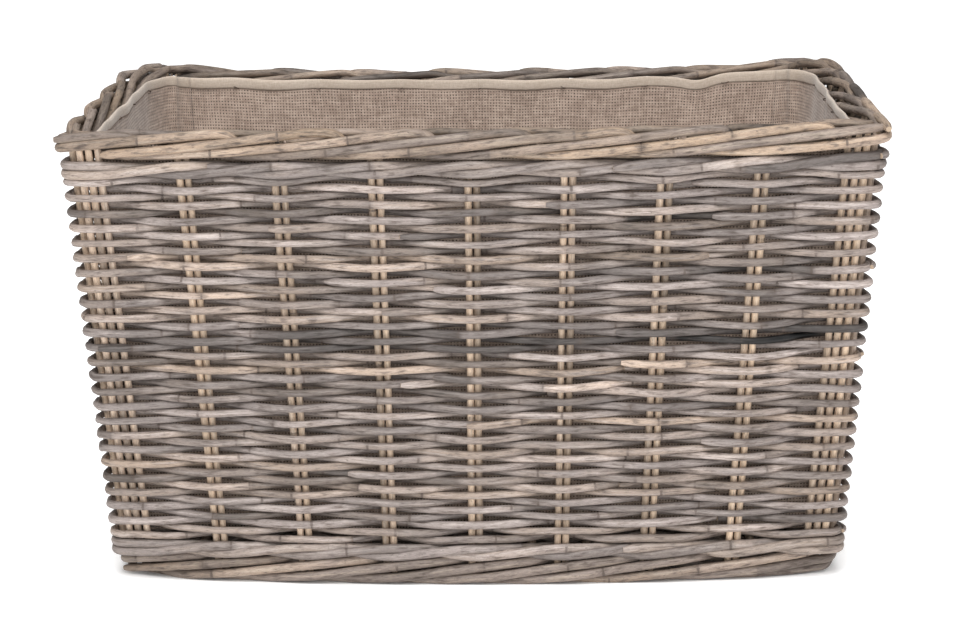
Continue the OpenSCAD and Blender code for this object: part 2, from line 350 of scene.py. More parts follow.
def shared_group(name, colours, values):
    """a new shader group with its inputs, and with colour, roughness and relief as its outputs"""
    g = bpy.data.node_groups.new(name, "ShaderNodeTree")
    for key, colour in colours:
        socket(g, key, "Color", value=(*colour, 1))
    for key, value in values:
        socket(g, key, "Float", value=value)
    for key, kind in (("Color", "Color"), ("Roughness", "Float"), ("Relief", "Float")):
        socket(g, key, kind, "OUTPUT")
    return g, g.nodes.new("NodeGroupInput").outputs, g.nodes.new("NodeGroupOutput").inputs


def cane_bark_group():
    """colour, roughness and relief of weathered cane: fibres, joints, stains, pits and cut ends"""
    g, given, result = shared_group(
        "cane bark",
        (("Grey", (0.40, 0.35, 0.31)), ("Buff", (0.52, 0.42, 0.28)), ("Dark", (0.075, 0.055, 0.045)),
         ("Pale", (0.66, 0.60, 0.53)), ("Pith", (0.36, 0.27, 0.19))),
        (("Streaks", 0.5), ("Stains", 0.5), ("Bleach", 0.4), ("Joint Dark", 0.8)))
    add, maths, times, scaled, ramp, blend, pattern, vector, split = shader_tools(g)

    def read(name, output="Fac"):
        return add("ShaderNodeAttribute", (), output, attribute_name=name)

    bark, ring = split(read("bark", "Vector")), split(read("ring", "Vector"))
    length, knot, cut = (read(k) for k in ("along", "knot", "cut"))
    shift = times(bark[2], 60.0)

    def stretched(lengthwise, roundwise):
        return vector(scaled(length, lengthwise, shift), times(ring[0], roundwise), times(ring[1], roundwise))

    fibre = pattern(stretched(55.0, 6.0), 2.2, 4.0, 0.65)
    cloud = pattern(stretched(24.0, 0.9), 1.0, 3.0, 0.55)
    blot = pattern(stretched(70.0, 1.4), 1.0, 3.0, 0.6)
    fleck = pattern(stretched(260.0, 5.0), 1.6, 2.0, 0.6)
    peel = ramp(pattern(stretched(17.0, 1.3), 1.0, 5.0, 0.6), 0.555, 0.585)
    scab = ramp(pattern(stretched(38.0, 2.0), 1.0, 4.0, 0.62), 0.60, 0.63)
    warmth = maths("ADD", bark[0], scaled(cloud, 0.9, -0.45), clamp=True)
    colour = blend(warmth, given["Grey"], given["Buff"])
    dark = times(ramp(blot, 0.47, 0.74), given["Stains"])
    colour = blend(dark, colour, given["Dark"])
    colour = blend(times(peel, times(given["Bleach"], 0.75)), colour, given["Pale"])
    colour = blend(times(scab, times(given["Stains"], 0.6)), colour, given["Dark"])
    pale = times(ramp(fibre, 0.52, 0.75), given["Bleach"])
    colour = blend(pale, colour, given["Pale"])
    streak = times(ramp(fibre, 0.5, 0.3), given["Streaks"])
    colour = blend(streak, colour, given["Dark"])
    gain = scaled(bark[1], 1.3, 0.36)
    gain = times(gain, scaled(fleck, 0.7, 0.65))
    colour = add("ShaderNodeHueSaturation", (("Value", gain), ("Color", colour)), "Color")
    pit = ramp(pattern(stretched(240.0, 3.4), 1.0, 1.0, 0.5), 0.69, 0.74)
    crack = ramp(pattern(stretched(22.0, 8.5), 1.0, 2.0, 0.5), 0.67, 0.72)
    colour = blend(times(maths("MAXIMUM", pit, crack), 0.6), colour, given["Dark"])
    ragged = maths("ADD", knot, scaled(blot, 0.0036, -0.0018))
    line = times(ramp(ragged, 0.0016, 0.0005), ramp(cloud, 0.36, 0.56, 0.15, 1.0))
    halo = ramp(knot, 0.009, 0.001, 0.0, 0.35)
    colour = blend(times(halo, times(blot, 1.4)), colour, given["Dark"])
    colour = blend(times(line, given["Joint Dark"]), colour, given["Dark"])
    end = ramp(cut, 0.75, 0.98)
    colour = blend(times(end, 0.85), colour, given["Pith"])
    rough = scaled(fibre, 0.25, scaled(dark, 0.2, 0.38), clamp=True)
    rise = ramp(knot, 0.003, 0.0009, 0.0, 0.6)
    relief = maths("SUBTRACT", maths("SUBTRACT", rise, times(line, 0.9)), times(pit, 0.5))
    relief = scaled(fibre, 0.55, relief)
    link(g, (colour, result["Color"]), (rough, result["Roughness"]), (relief, result["Relief"]))
    return g


CANE_BARK = cane_bark_group()


def finish_of(name, group, relief=0.35, depth=0.0006, shine=0.35, fuzz=0.0, **values):
    """a material whose colour, roughness and relief come from one of the shared groups"""
    m = bpy.data.materials.new(name)
    m.use_nodes = True
    tree = m.node_tree
    body = tree.nodes["Principled BSDF"]
    look = tree.nodes.new("ShaderNodeGroup")
    look.node_tree = group
    for key, value in values.items():
        look.inputs[key.replace("_", " ")].default_value = value
    bump = tree.nodes.new("ShaderNodeBump")
    bump.inputs["Strength"].default_value = relief
    bump.inputs["Distance"].default_value = depth
    link(tree, (look.outputs["Color"], body.inputs["Base Color"]),
         (look.outputs["Roughness"], body.inputs["Roughness"]),
         (look.outputs["Relief"], bump.inputs["Height"]),
         (bump.outputs["Normal"], body.inputs["Normal"]))
    body.inputs["Specular IOR Level"].default_value = shine
    body.inputs["Sheen Weight"].default_value = fuzz
    return m


stake_finish = finish_of("stake cane", CANE_BARK, Grey=(0.34, 0.265, 0.215, 1), Buff=(0.56, 0.42, 0.30, 1),
                         Pale=(0.62, 0.53, 0.44, 1), Streaks=0.35, Stains=0.5, Bleach=0.4)

STICK_Z = sum(c[2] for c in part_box("base_sticks")) / 2
STICK = 9 * MM
STICKS = 13
stick_low, stick_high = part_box("base_sticks")
stick_step = (stick_high[0] - stick_low[0] - STICK) / (STICKS - 1)
rng = np.random.default_rng(3)


def stick_half(u):
    """half the length of a stick that lies u to the side: the ends follow the bowed wall"""
    return stick_high[1] - bow_at(STICK_Z) * 0.9 * min(1, (u / half_x(STICK_Z)) ** 2)


sticks = []
for i in range(STICKS):
    u = (i - (STICKS - 1) / 2) * stick_step
    y = np.linspace(-stick_half(u), stick_half(u), 30)
    bend = rng.normal(0, 0.4 * MM) * (1 - (y / y[-1]) ** 2)
    sticks.append(cane(np.stack([u + bend, y, np.full(30, STICK_Z)], axis=1), STICK, rng, 0.5, 0.5))
base_sticks = bundle("base_stick_set", sticks, stake_finish, sides=12, seed=3)
fixed(base_sticks, "stake_cane", "base_sticks")

# ---------------------------------------------------------------------------
# Base weave: thinner canes worked side to side through the base sticks, over
# one and under the next, packed tight. The ends are cut off at the edge.
# ---------------------------------------------------------------------------
weave_finish = finish_of("weave cane", CANE_BARK, relief=0.45, Grey=(0.228, 0.194, 0.18, 1),
                         Buff=(0.36, 0.275, 0.214, 1), Pale=(0.455, 0.395, 0.365, 1),
                         Streaks=0.72, Stains=0.9, Bleach=0.5)
BASE_CANE = 7 * MM
base_step = BASE_CANE + 0.9 * MM
base_count = int((stick_high[1] - BASE_CANE / 2) / base_step)
rng = np.random.default_rng(4)
base_canes = []
for r in range(-base_count, base_count + 1):
    y = r * base_step
    reach = [i for i in range(STICKS // 2 + 1) if stick_half(i * stick_step) > abs(y) + BASE_CANE / 2]
    if not reach or reach[-1] < 1:
        continue
    last = reach[-1]
    stand = (STICK + BASE_CANE) / 2 * 0.98
    x, z = [], []
    for i in range(-last, last + 1):
        side = 1 if (i + r) % 2 == 0 else -1
        x += [i * stick_step - 5 * MM, i * stick_step + 5 * MM]
        z += [side * stand] * 2
    xs = np.arange(x[0] - 4 * MM, x[-1] + 4 * MM, 2 * MM)
    zs = np.interp(xs, x, z)
    kernel = np.exp(-np.arange(-8, 9) ** 2 / 18)
    zs = np.convolve(np.pad(zs, 8, mode="edge"), kernel / kernel.sum(), mode="valid")
    path = np.stack([xs, np.full(len(xs), y) + drift(rng, xs - xs[0], 0.1, 0.2 * MM), STICK_Z + zs], axis=1)
    base_canes.append(cane(path, BASE_CANE * rng.uniform(0.96, 1.06), rng, 0.35, 0.45))
base_weave = bundle("base_weave_canes", base_canes, weave_finish, sides=8, seed=4)
fixed(base_weave, "weave_cane", "base_weave")

# ---------------------------------------------------------------------------
# Stakes: round peeled cane, set up in pairs along the walls and four round
# each corner. They run from the foot up into the rolled rim.
# ---------------------------------------------------------------------------
PAIR_GAP = 4.1 * MM
STAKE_FROM, STAKE_TO = 6 * MM, TALL - 12 * MM
rng = np.random.default_rng(5)


def stake(wall, u_at, shade, start=STAKE_FROM):
    z = np.linspace(start, STAKE_TO, 40)
    u = np.array([u_at(h) for h in z])
    wander = drift(rng, z, 0.12, 0.25 * MM)
    path = on_wall(wall, u + wander, drift(rng, z, 0.15, 0.15 * MM), z)
    return cane(path, STAKE * rng.uniform(0.94, 1.04), rng, *shade, joint=0.3, ring=8 * MM)


for w, wall in enumerate(WALLS):
    pairs = []
    for k in range(1, SPANS[w]):
        for q in (-1, 1):
            shade = (rng.uniform(0.35, 1.0), rng.uniform(0.45, 0.72))
            pairs.append(stake(w, lambda h: pair_place(w, k, h) + q * PAIR_GAP, shade))
    piece = bundle(f"stake_pairs_{wall}", pairs, stake_finish, sides=12, seed=10 + w)
    fixed(piece, "stake_cane", f"stakes_{wall}")

POST_FROM = 23 * MM
POSTS_IN = (26.5 * MM, 17.5 * MM, 8.5 * MM)
CORNERS = {"fr": ((0, 1), (1, -1)), "br": ((2, -1), (1, 1)), "bl": ((2, 1), (3, -1)), "fl": ((0, -1), (3, 1))}
for c, (corner, (long_wall, short_wall)) in enumerate(CORNERS.items()):
    posts = []
    for (wall, sign), inset in [(long_wall, i) for i in POSTS_IN] + [(short_wall, POSTS_IN[-1])]:
        # painted light: the corner posts get a lighter tone range than the stake pairs, to offset the shade they
        # stand in among the canes
        shade = (rng.uniform(0.3, 0.9), rng.uniform(0.55, 0.85))
        posts.append(stake(wall, lambda h: sign * (along(wall, h) - inset), shade, POST_FROM))
    piece = bundle(f"corner_posts_{corner}", posts, stake_finish, sides=12, seed=20 + c)
    fixed(piece, "stake_cane", f"corner_stakes_{corner}")

# ---------------------------------------------------------------------------
# Foot wale: three heavier grey canes worked together round the bottom of the
# stakes, each in front of two pairs and behind the third.
# ---------------------------------------------------------------------------
STATIONS = sum(SPANS)
FIRST = [0, 8, 13, 21]
WALE = 8.5 * MM
wale_finish = finish_of("wale cane", CANE_BARK, relief=0.45, Grey=(0.245, 0.207, 0.191, 1),
                        Buff=(0.36, 0.275, 0.205, 1), Pale=(0.46, 0.405, 0.37, 1),
                        Streaks=0.65, Stains=0.8, Bleach=0.4)


FINE = 2 * MM


def even(points, step, closed=True):
    """the same line with points at one even spacing"""
    if closed:
        points = np.vstack([points, points[:1]])
    places = lengths(points)
    n = max(8, int(places[-1] / step))
    return pick(points, places, np.linspace(0, places[-1], n, endpoint=not closed))


def eased(points, step, reach, closed=True):
    """a line with its bends rounded over the given reach"""
    if not closed:
        pad = int(4 * reach / step)
        first, last = points[:1] * 2 - points[1:pad + 1][::-1], points[-1:] * 2 - points[-pad - 1:-1][::-1]
        points = np.vstack([first, points, last])
    wave = np.fft.fftfreq(len(points), step)
    soft = np.exp(-2 * (math.pi * wave * reach) ** 2)[:, None]
    out = np.real(np.fft.ifft(np.fft.fft(points, axis=0) * soft, axis=0))
    return out if closed else out[pad:-pad]


def smoothed(line, reach, closed=True):
    """the line at a fine even spacing, with its bends rounded"""
    return eased(even(line, FINE, closed), FINE, reach, closed)


def outward(points):
    """which way is out of the basket at each point of a line round it"""
    way = np.gradient(points[:, :2], axis=0)
    way /= np.linalg.norm(way, axis=1)[:, None] + 1e-12
    return np.stack([way[:, 1], -way[:, 0], np.zeros(len(way))], axis=1)


def round_the_stakes(place_at, stand, flat):
    """one time round the basket, on the side and at the height that place_at gives for each stake pair"""
    points = []
    for w in range(4):
        n = SPANS[w]
        for k in range(n + 1):
            s = FIRST[w] + k
            side, z = place_at(s % STATIONS)
            v = side * stand
            corner, shoulder = along(w, z) + v, along(w, z) - END_OFF[w % 2] - flat
            middle = pair_place(w, k, z)
            ends = {0: (-corner, -shoulder), n: (shoulder, corner)}
            points += [(w, u, v, z) for u in ends.get(k, (middle - flat, middle + flat))]
    line = []
    for (w, u, v, z), (w2, u2, v2, z2) in zip(points, points[1:] + points[:1]):
        if w != w2:
            continue
        n = max(2, int(abs(u2 - u) / FINE))
        t = np.linspace(0, 1, n, endpoint=False)
        line.append(on_wall(w, u + (u2 - u) * t, v + (v2 - v) * t, z + (z2 - z) * t))
    return np.vstack(line)


def lapped(line, first, last, tail, tuck, head, lead):
    """a run of a line round the basket, laid over the last cane at its head and tucked in at its tail"""
    span = np.take(line, range(first, last), axis=0, mode="wrap")
    at = lengths(span)
    inward = np.clip((at - (at[-1] - tail)) / 0.03, 0, 1) * tuck
    clear = np.clip((head - at) / 0.03, 0, 1) * lead
    return span + outward(span) * (clear - inward)[:, None], at


def mid_space(points):
    """0 at a stake pair and 1 half way to the next, for points round the basket"""
    share = np.zeros(len(points))
    for w in range(4):
        x, y = points[:, 0], points[:, 1]
        u, out = ((x, -y), (y, x), (-x, y), (-y, -x))[w]
        h = along(w, points[:, 2])
        here = (np.abs(u) <= h) & (out > 0.6 * across(w, points[:, 2]))
        pitch = (h - END_OFF[w % 2]) / (SPANS[w] / 2 - 1 + END_SHARE)
        share[here] = ((1 - np.cos(2 * math.pi * (u / pitch + SPANS[w] / 2))) / 2)[here]
    return share


def wale_rods(z0, seed):
    """three canes, each rising past two pairs and dropping back behind the third"""
    rng = np.random.default_rng(seed)
    low, high = z0 + WALE / 2, z0 + WALE * 1.5 + 0.4 * MM
    rods = []
    for r in range(3):
        def place_at(s):
            turn = (s + STATIONS - r) % 3
            return -1 if turn == 0 else 1, ((low + high) / 2, low, high)[turn]

        line = round_the_stakes(place_at, (STAKE + WALE) / 2 + 0.9 * MM, 6 * MM)
        line = smoothed(line, 9 * MM)
        total = len(line)
        turn = rng.integers(0, total)
        line = np.roll(line, -turn, axis=0)
        cuts = [0, int(total * rng.uniform(0.28, 0.38)), int(total * rng.uniform(0.6, 0.72)), total]
        for a, b in zip(cuts[:-1], cuts[1:]):
            path = lapped(line, a, b + 14, tail=0.045, tuck=3.4 * MM, head=0.035, lead=2.2 * MM)[0]
            rods.append(cane(path, WALE * rng.uniform(1.02, 1.12), rng, rng.uniform(-0.1, 0.4),
                             rng.uniform(0.3, 0.6), joint=0.2))
    return rods


foot_wale = bundle("foot_wale_canes", wale_rods(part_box("foot_wale_front")[0][2], 31), wale_finish,
                   sides=11, seed=31)
fixed(foot_wale, "wale_cane", *(f"foot_wale_{w}" for w in WALLS))

# ---------------------------------------------------------------------------
# Randing: about fifty rows of round weathered cane, each over one stake pair
# and under the next. A row is two to four canes, each tucked in behind the
# start of the next, and it is beaten down on the row below.
# ---------------------------------------------------------------------------
Z_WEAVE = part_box("weave_front_low")[0][2]
Z_WEAVE_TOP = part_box("weave_front_high")[1][2]
ROWS = round((Z_WEAVE_TOP - Z_WEAVE) / (7.55 * MM))
THIRD = math.ceil(ROWS / 3)
ROW_STEP = (Z_WEAVE_TOP - Z_WEAVE + 0.55 * MM) / ROWS
CANE = 7.5 * MM
STAIN_ROW, BUFF_ROW = 26.5, 11
SWAY, SETTLE = 1.0 * MM, 2.6 * MM
rng = np.random.default_rng(7)
sway = rng.normal(0, 1, (ROWS // 4 + 4, 40))


def row_sway(row, share):
    """how far the rows have crept up or down along the wall, rows near each other alike"""
    r, c = row / 4, share * 36
    i, j = int(r), c.astype(int)
    f, g = r - i, ease(c - j)
    a = sway[i, j] * (1 - g) + sway[i, j + 1] * g
    b = sway[i + 1, j] * (1 - g) + sway[i + 1, j + 1] * g
    return a * (1 - f) + b * f


def row_canes(row):
    zc = Z_WEAVE + (row + 0.5) * ROW_STEP

    def place_at(s):
        w = max(i for i in range(4) if FIRST[i] <= s)
        return (-1) ** (row + s - FIRST[w] + (w > 1)), zc

    line = smoothed(round_the_stakes(place_at, (STAKE + CANE) / 2 + 1.5 * MM, 5.5 * MM), 8 * MM)
    total = len(line)
    share = np.arange(total) / total
    share = np.where(share > 0.97, (1 - share) / 0.03 * 0.97, share)
    line[:, 2] += row_sway(row, share) * SWAY
    settle = max(0, 1 - row / 2.5) - max(0, 1 - (ROWS - 1 - row) / 2.5)
    line[:, 2] -= settle * SETTLE * mid_space(line)
    parts = rng.choice([2, 3, 3, 4])
    cuts = np.sort((np.arange(parts) / parts + rng.uniform(0, 0.16, parts) + rng.uniform()) % 1)
    cuts = (cuts * total).astype(int)
    stain = math.exp(-((row - STAIN_ROW) / 1.6) ** 2)
    gold = math.exp(-((row - BUFF_ROW) / 5.0) ** 2)
    made = []
    for i, a in enumerate(cuts):
        b = cuts[(i + 1) % parts] + (total if i == parts - 1 else 0)
        lap = rng.integers(8, 20)
        path, at = lapped(line, a, b + lap, tail=0.05, tuck=3.6 * MM, head=0.04, lead=1.7 * MM)
        path[:, 2] += drift(rng, at, 0.07, 0.35 * MM)
        warm = rng.choice([rng.uniform(-0.15, 0.3), rng.uniform(0.2, 0.6), rng.uniform(0.6, 1.0)],
                          p=[0.62, 0.28, 0.10] if rng.uniform() > gold * 0.5 else [0.3, 0.35, 0.35])
        light = rng.choice([rng.uniform(0.12, 0.4), rng.uniform(0.35, 0.72)], p=[0.3, 0.7])
        light -= 0.3 * stain * rng.uniform(0.4, 1)
        made.append(cane(path, CANE * rng.uniform(0.9, 1.1), rng, warm - 0.5 * stain, light, joint=0.16))
    return made


for third, level in enumerate(("low", "mid", "high")):
    canes = [c for row in range(third * THIRD, min(ROWS, third * THIRD + THIRD)) for c in row_canes(row)]
    piece = bundle(f"randing_{level}", canes, weave_finish, sides=10, seed=41 + third)
    fixed(piece, "weave_cane", *(f"weave_{w}_{level}" for w in WALLS))

# ---------------------------------------------------------------------------
# Top wale: three more of the heavy grey canes, worked like the foot wale, to
# lock the weave under the rim.
# ---------------------------------------------------------------------------
top_wale = bundle("top_wale_canes", wale_rods(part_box("top_wale_front")[0][2], 33), wale_finish,
                  sides=11, seed=33)
fixed(top_wale, "wale_cane", *(f"top_wale_{w}" for w in WALLS))

# ---------------------------------------------------------------------------
# Rim: a rolled border of thick buff cane. Each strand comes out between two
# stake pairs, climbs the outside, crosses over the top and drops down inside,
# and the next one follows it a stake space later.
# ---------------------------------------------------------------------------
STRAND = 9 * MM
strand_finish = finish_of("strand cane", CANE_BARK, relief=0.5, Grey=(0.20, 0.16, 0.138, 1),
                          Buff=(0.33, 0.237, 0.162, 1), Pale=(0.41, 0.34, 0.27, 1),
                          Streaks=0.8, Stains=1.0, Bleach=0.45)


def at_station(s, v, z):
    """points at stations round the basket, v out from the stake line, meeting square at the corners"""
    points = np.zeros((len(s), 3))
    s = s % STATIONS
    for w in range(4):
        n = SPANS[w]
        here = (s >= FIRST[w]) & (s < FIRST[w] + n)
        if here.any():
            h = along(w, z[here])
            stops = np.array([-h] + [pair_place(w, k, z[here]) for k in range(1, n)] + [h])
            k = s[here] - FIRST[w]
            i = np.clip(k.astype(int), 0, n - 1)
            j = np.arange(len(i))
            u = stops[i, j] * (1 - (k - i)) + stops[i + 1, j] * (k - i)
            points[here] = on_wall(w, u * (h + v[here]) / h, v[here], z[here])
    return points


def apart(at, places, turn):
    """how far each point is from the nearest of some places, on a ring of the given length"""
    return np.abs((at[:, None] - np.array(places) + turn / 2) % turn - turn / 2).min(axis=1)


def rolled(turns, seed, tones, cut_back=None, blunt=None, thick=STRAND, pinch=0.0, skew=0.07):
    """strands side by side in a slanting roll; turns gives the place of a strand at each stake space"""
    rng = np.random.default_rng(seed)
    spaces, outs, heights = (np.array(c, float) for c in zip(*turns))
    measure = lengths(np.stack([spaces * 80, outs, heights], axis=1))
    steps = np.arange(0, measure[-1], 2.0)
    t, v0, z0 = (np.interp(steps, measure, c) for c in (spaces, outs, heights))
    made = []
    for s in range(STATIONS):
        begin = s + rng.uniform(-skew, skew)
        first = int(np.searchsorted(t, blunt)) if blunt is not None and s in FIRST else 0
        v = v0 * MM + drift(rng, steps, 60, 0.6 * MM)
        z = z0 * MM + drift(rng, steps, 60, 0.7 * MM)
        v -= pinch * np.exp(-(apart(begin + t, FIRST, STATIONS) / 0.5) ** 2) * np.clip(1 - z / 0.03, 0, 1)
        path = at_station(begin + t, v, z)[first:]
        parts = [path]
        for corner in FIRST:
            meet = (corner - begin) % STATIONS
            if cut_back and cut_back[0] <= meet <= cut_back[1]:
                i = int(np.searchsorted(t, meet)) - first
                before, after = path[:i - 1], path[i + 1:]
                if len(before) < 12 or len(after) < 12:
                    continue
                way = [after[0] - after[8], before[-1] - before[-9]]
                way = [w / np.linalg.norm(w) for w in way]
                poke = [rng.uniform(8, 13) * MM, rng.uniform(2, 5) * MM]
                parts = [np.vstack([before, before[-1:] + way[1] * poke[1]]),
                         np.vstack([after[:1] + way[0] * poke[0], after])]
        for line in parts:
            line = smoothed(line, 5 * MM, closed=False)
            made.append(cane(line, thick * rng.uniform(0.94, 1.06), rng, rng.uniform(*tones[0]),
                             rng.uniform(*tones[1]), joint=0.15, ring=3.5 * MM))
    return made


RIM_TURNS = ((-0.75, -6, 433.5), (-0.35, 2.5, 432.8), (0.0, 8.2, 433.8), (0.4, 9.3, 436.4), (1.0, 9.3, 441.9),
             (1.6, 8.6, 448.0), (2.05, 7.2, 452.6), (2.3, 5.8, 454.9), (2.47, 4.6, 455.2), (2.58, 3.6, 453.4),
             (2.63, 3.0, 449.5), (2.65, 2.5, 444), (2.65, 2.2, 438))
LEAN_TURNS = ((-0.95, 5.0, 448.5), (-0.6, 3.0, 451.0), (-0.52, 1.2, 454.4), (-0.38, -1.6, 455.4),
              (0, -4.6, 453), (0.5, -7.4, 448),
              (1.1, -9.4, 441), (1.45, -9.2, 437), (2.05, -8.6, 430.5))
rim_canes = rolled(RIM_TURNS, 51, ((-0.1, 0.85), (0.13, 0.62)), cut_back=(1.9, 2.5), blunt=0.28, thick=9.3 * MM)
rim_canes += rolled(LEAN_TURNS, 52, ((-0.1, 0.75), (0.15, 0.55)), thick=8.2 * MM, skew=0.12)
rim = bundle("rolled_rim", rim_canes, strand_finish, sides=12, seed=51)
fixed(rim, "strand_cane", *(f"rim_{w}" for w in WALLS))

# ---------------------------------------------------------------------------
# Foot: the same roll turned over and lower, worn flat where it meets the
# floor. Its strands come up from inside, rise along the outside and are
# tucked in under the foot wale.
# ---------------------------------------------------------------------------
FOOT_TURNS = ((-3.6, -6, 20.5), (-3.2, -10, 19.5), (-2.5, -12, 13), (-1.9, -10.5, 7), (-1.4, -6, 4.2),
              (-0.9, 0, 3.7), (-0.4, 6, 4.4), (0.1, 8.8, 7.8), (0.7, 8.8, 14.5), (1.3, 8.4, 21),
              (1.6, 5, 23), (1.9, -3, 23.5))
foot = bundle("rolled_foot", rolled(FOOT_TURNS, 53, ((-0.3, 0.35), (0.34, 0.66)), cut_back=(-0.3, 0.65),
                                    pinch=16 * MM), strand_finish, sides=12, seed=53, floor=0.0)
fixed(foot, "strand_cane", *(f"foot_{w}" for w in WALLS))

# ---------------------------------------------------------------------------
# Lining: a bag of coarse plain-woven hessian, one piece of cloth to a wall
# and one for the base, lapped and sewn up the sides. It hangs from its hem.
# ---------------------------------------------------------------------------
CLOTH = 1.3 * MM
lining_low, lining_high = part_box("lining_back")
LINING_BOTTOM, LINING_TOP = lining_low[2], lining_high[2]
CLOTH_V = lining_high[1] - half_y(LINING_TOP) - BOW_RIM - CLOTH / 2


def hessian_group():
    """plain weave drawn from the cloth's own lengthwise and upward measure, with darker slubs, and with painted
    shade in the open holes and between the threads
    """
    # the dark colour is painted shade for the holes and the gaps between threads, and also the tone of the
    # darker slubs
    g, given, result = shared_group(
        "hessian weave",
        (("Thread", (0.275, 0.205, 0.165)), ("Light", (0.50, 0.395, 0.325)), ("Hole", (0.06, 0.045, 0.035))),
        (("Pitch", 0.0033), ("Openness", 1.0), ("Slubs", 0.5)))
    add, maths, times, scaled, ramp, blend, pattern, vector, split = shader_tools(g)
    across_cloth, up_cloth = split(add("ShaderNodeUVMap", (), "UV", uv_map="cloth"))[:2]
    drag = scaled(pattern(vector(across_cloth, up_cloth), 38.0), 0.0030, -0.0015)
    warp = maths("DIVIDE", maths("ADD", across_cloth, drag), given["Pitch"])
    weft = maths("DIVIDE", maths("ADD", up_cloth, times(drag, 0.8)), given["Pitch"])
    warp_fat = pattern(vector(times(warp, 0.9), times(weft, 0.22)), 1.0)
    weft_fat = pattern(vector(times(warp, 0.16), times(weft, 0.9), 7.0), 1.0)
    warp_wave, weft_wave = (maths("SINE", times(thread, math.pi)) for thread in (warp, weft))
    warp_mid, weft_mid = (maths("ABSOLUTE", wave) for wave in (warp_wave, weft_wave))
    hole = times(*(ramp(mid, maths("ADD", fat, 0.3), 0.15) for mid, fat in ((warp_mid, warp_fat),
                                                                            (weft_mid, weft_fat))))
    crossing_place = vector(maths("ROUND", warp), maths("ROUND", weft))
    chance = add("ShaderNodeTexWhiteNoise", (("Vector", crossing_place),), "Value", noise_dimensions="2D")
    hole = times(hole, ramp(chance, 0.0, 0.9, 0.35, 2.2))
    hole = maths("MINIMUM", times(hole, given["Openness"]), 1.0)
    cloud = pattern(vector(across_cloth, up_cloth, 3.0), 22.0, 3.0)
    tone = maths("ADD", times(maths("ADD", warp_fat, weft_fat), 0.75), times(cloud, 0.6))
    colour = blend(ramp(tone, 0.72, 1.42), given["Thread"], given["Light"])
    slub = ramp(pattern(vector(times(warp, 0.03), times(weft, 0.9), 4.0), 1.0), 0.66, 0.78)
    slub = times(slub, given["Slubs"])
    colour = blend(slub, colour, given["Hole"])
    # painted shade: the gaps between the threads are darkened towards the dark colour
    between = maths("SUBTRACT", 1.0, maths("MAXIMUM", warp_mid, weft_mid))
    colour = blend(times(between, 0.6), colour, given["Hole"])
    # painted shade: the open holes are filled with the dark colour, for the shade seen through the cloth
    colour = blend(hole, colour, given["Hole"])
    crossing = times(warp_wave, weft_wave)
    relief = scaled(maths("ADD", warp_mid, weft_mid), 0.4, scaled(crossing, 0.25, times(hole, -0.5)))
    rough = scaled(cloud, 0.12, 0.82)
    link(g, (colour, result["Color"]), (rough, result["Roughness"]), (relief, result["Relief"]))
    return g


HESSIAN = hessian_group()
lining_finish = finish_of("lining hessian", HESSIAN, relief=0.5, depth=0.0005, shine=0.12, fuzz=0.25)

CLOTH_STEP = 6 * MM
SEAM_IN = 36 * MM
DIP_AT, DIP, DIP_WIDE = 0.246, 5.5 * MM, 0.02
cloth_height = np.linspace(LINING_BOTTOM, LINING_TOP,
                           math.ceil((LINING_TOP + 4 * MM - LINING_BOTTOM) / (8 * MM)))
columns = [int(2 * along(w, LINING_TOP) / CLOTH_STEP) for w in range(4)]
column_start = np.cumsum([0] + columns)


def cloth_loop(z, v):
    """one level round the lining, its corners rounded"""
    loop = []
    for w in range(4):
        h = along(w, z) + v
        u = np.linspace(-h, h, columns[w], endpoint=False)
        swell = min(bow_at(z), 13 * MM) - bow_at(z)
        easing = swell * np.maximum(0, 1 - (u / along(w, z)) ** 2) if w % 2 == 0 else 0
        loop.append(on_wall(w, u, v + easing, z))
    return eased(np.vstack(loop), CLOTH_STEP, 15 * MM)


levels = np.stack([cloth_loop(z, CLOTH_V) for z in cloth_height])
cloth_out = np.stack([outward(np.vstack([lv[-1:], lv, lv[:1]]))[1:-1] for lv in levels])
total_columns = levels.shape[1]
round_cloth = lengths(levels[-1])


def run_of(cols):
    """how far round the cloth its columns stand"""
    return round_cloth[cols % total_columns] + np.where(cols >= total_columns, round_cloth[-1] + CLOTH_STEP, 0)


def soft_noise(shape, coarse, size, seed):
    """smooth random hills over a grid that closes on itself sideways"""
    r = np.random.default_rng(seed)
    field = r.normal(0, 1, shape)
    fy, fx = np.fft.fftfreq(shape[0])[:, None], np.fft.fftfreq(shape[1])[None]
    soft = np.exp(-2 * (math.pi ** 2) * ((fy * coarse[0]) ** 2 + (fx * coarse[1]) ** 2))
    field = np.real(np.fft.ifft2(np.fft.fft2(field) * soft))
    return field / field.std() * size


def round_noise(coarse, size, seed):
    """smooth random hills once round the cloth"""
    return soft_noise((1, total_columns), (1, coarse), size, seed)[0]


shape = levels.shape[:2]
near_top = np.clip((cloth_height - LINING_TOP + 0.09) / 0.09, 0, 1)[:, None]
creases = soft_noise(shape, (14, 3.2), 1.1 * MM, 62) + soft_noise(shape, (5, 9), 0.9 * MM, 63)
levels -= cloth_out * np.clip(creases + 1.0 * MM, -0.3 * MM, 5 * MM)[..., None]
tie_columns = []
for w in range(4):
    for k in range(1, SPANS[w]):
        place = on_wall(w, pair_place(w, k, LINING_TOP), CLOTH_V, LINING_TOP)
        tie_columns.append(int(np.argmin(np.linalg.norm(levels[-1] - place, axis=1))))
lie = apart(np.arange(total_columns), tie_columns, total_columns) * CLOTH_STEP
hang = ease(np.clip(lie / 0.045, 0, 1))
droop = hang * (0.9 + round_noise(12, 0.9, 64)) * MM
droop += round_noise(22, 1.0 * MM, 65)
droop *= np.where(np.abs(cloth_out[-1][:, 0]) > 0.7, 0.5, 1)
droop += DIP * np.exp(-((levels[-1][:, 0] - DIP_AT) / DIP_WIDE) ** 2) * (levels[-1][:, 1] > 0)
